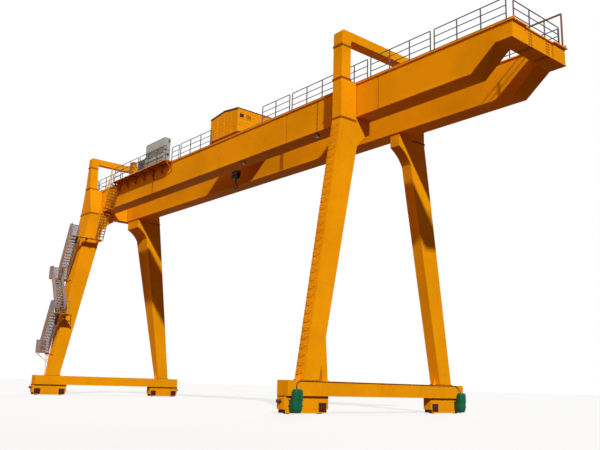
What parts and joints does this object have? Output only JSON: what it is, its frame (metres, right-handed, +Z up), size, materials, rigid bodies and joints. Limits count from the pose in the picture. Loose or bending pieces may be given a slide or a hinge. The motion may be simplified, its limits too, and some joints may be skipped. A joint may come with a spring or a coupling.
{
  "type": "half-size scale model of a double-girder gantry crane",
  "caption": "Gantry crane with box girders on leaning A-frame legs, a roofed trolley on rails, handrails, a zigzag stair, a hook and wheeled bogies; lifts loads in a yard.",
  "frame": {"origin": "middle of the plan box, at the level of the wheels' lowest points", "axes": "+X along the girders towards the raked cantilever end, +Y away from the stair, +Z up"},
  "size_m": [22.635, 6.9, 10.4],
  "materials": {
    "crane_yellow": "gloss paint, weathered",
    "galvanised": "dull zinc coat",
    "wheel_steel": "rolled steel, rust on the flanges",
    "drive_green": "gloss machine paint",
    "cabinet_grey": "powder coat",
    "house_sheet": "profiled sheet, painted",
    "roof_brown": "painted sheet",
    "hook_steel": "forged, dark, oily",
    "buffer_rubber": "matt",
    "lamp_grey": "cast, matt"
  },
  "bodies": {
    "gantry": {"buffers": "buffer_rubber", "cabinet_platform": "crane_yellow", "control_cabinets": "cabinet_grey", "end_handrails": "galvanised", "far_girder": "crane_yellow", "far_handrail": "galvanised", "festoon_track": "crane_yellow", "floodlights": "lamp_grey", "landing_ladder": "crane_yellow", "left_end_beam": "crane_yellow", "left_far_bogie": "crane_yellow", "left_far_column": "crane_yellow", "left_far_leg": "crane_yellow", "left_far_saddle": "crane_yellow", "left_near_bogie": "crane_yellow", "left_near_column": "crane_yellow", "left_near_leg": "crane_yellow", "left_near_saddle": "crane_yellow", "left_sill_beam": "crane_yellow", "left_top_tie": "crane_yellow", "leg_step_irons": "crane_yellow", "near_girder": "crane_yellow", "near_handrail": "galvanised", "platform_handrail": "galvanised", "right_end_beam": "crane_yellow", "right_far_bogie": "crane_yellow", "right_far_column": "crane_yellow", "right_far_leg": "crane_yellow", "right_far_saddle": "crane_yellow", "right_near_bogie": "crane_yellow", "right_near_column": "crane_yellow", "right_near_leg": "crane_yellow", "right_near_leg_strut": "crane_yellow", "right_near_saddle": "crane_yellow", "right_sill_beam": "crane_yellow", "right_top_tie": "crane_yellow", "stair_guards": "galvanised", "stair_landings": "crane_yellow", "stair_stringers": "crane_yellow", "stair_treads": "crane_yellow", "travel_drives": "drive_green", "trolley_rails": "wheel_steel"},
    "trolley": {"trolley_frame": "crane_yellow", "trolley_wheels": "wheel_steel", "trolley_house": "house_sheet", "trolley_roof": "roof_brown", "hook_block": "hook_steel", "hoist_ropes": "hook_steel"},
    "right_near_inner_wheel": {"right_near_inner_wheel": "wheel_steel"},
    "right_near_outer_wheel": {"right_near_outer_wheel": "wheel_steel"},
    "right_far_inner_wheel": {"right_far_inner_wheel": "wheel_steel"},
    "right_far_outer_wheel": {"right_far_outer_wheel": "wheel_steel"},
    "left_near_inner_wheel": {"left_near_inner_wheel": "wheel_steel"},
    "left_near_outer_wheel": {"left_near_outer_wheel": "wheel_steel"},
    "left_far_inner_wheel": {"left_far_inner_wheel": "wheel_steel"},
    "left_far_outer_wheel": {"left_far_outer_wheel": "wheel_steel"}
  },
  "joints": [
    {"name": "trolley_travel", "type": "slide", "parent": "gantry", "child": "trolley", "axis": [1, 0, 0], "range_m": [-9.3, 10.3]},
    {"name": "right_near_inner_wheel_turn", "type": "hinge", "parent": "gantry", "child": "right_near_inner_wheel", "pos_m": [6.0825, -2.125, 0.15], "axis": [1, 0, 0], "continuous": true},
    {"name": "right_near_outer_wheel_turn", "type": "hinge", "parent": "gantry", "child": "right_near_outer_wheel", "pos_m": [6.0825, -3.15, 0.15], "axis": [1, 0, 0], "continuous": true},
    {"name": "right_far_inner_wheel_turn", "type": "hinge", "parent": "gantry", "child": "right_far_inner_wheel", "pos_m": [6.0825, 2.125, 0.15], "axis": [1, 0, 0], "continuous": true},
    {"name": "right_far_outer_wheel_turn", "type": "hinge", "parent": "gantry", "child": "right_far_outer_wheel", "pos_m": [6.0825, 3.15, 0.15], "axis": [1, 0, 0], "continuous": true},
    {"name": "left_near_inner_wheel_turn", "type": "hinge", "parent": "gantry", "child": "left_near_inner_wheel", "pos_m": [-10.1275, -2.125, 0.15], "axis": [1, 0, 0], "continuous": true},
    {"name": "left_near_outer_wheel_turn", "type": "hinge", "parent": "gantry", "child": "left_near_outer_wheel", "pos_m": [-10.1275, -3.15, 0.15], "axis": [1, 0, 0], "continuous": true},
    {"name": "left_far_inner_wheel_turn", "type": "hinge", "parent": "gantry", "child": "left_far_inner_wheel", "pos_m": [-10.1275, 2.125, 0.15], "axis": [1, 0, 0], "continuous": true},
    {"name": "left_far_outer_wheel_turn", "type": "hinge", "parent": "gantry", "child": "left_far_outer_wheel", "pos_m": [-10.1275, 3.15, 0.15], "axis": [1, 0, 0], "continuous": true}
  ]
}
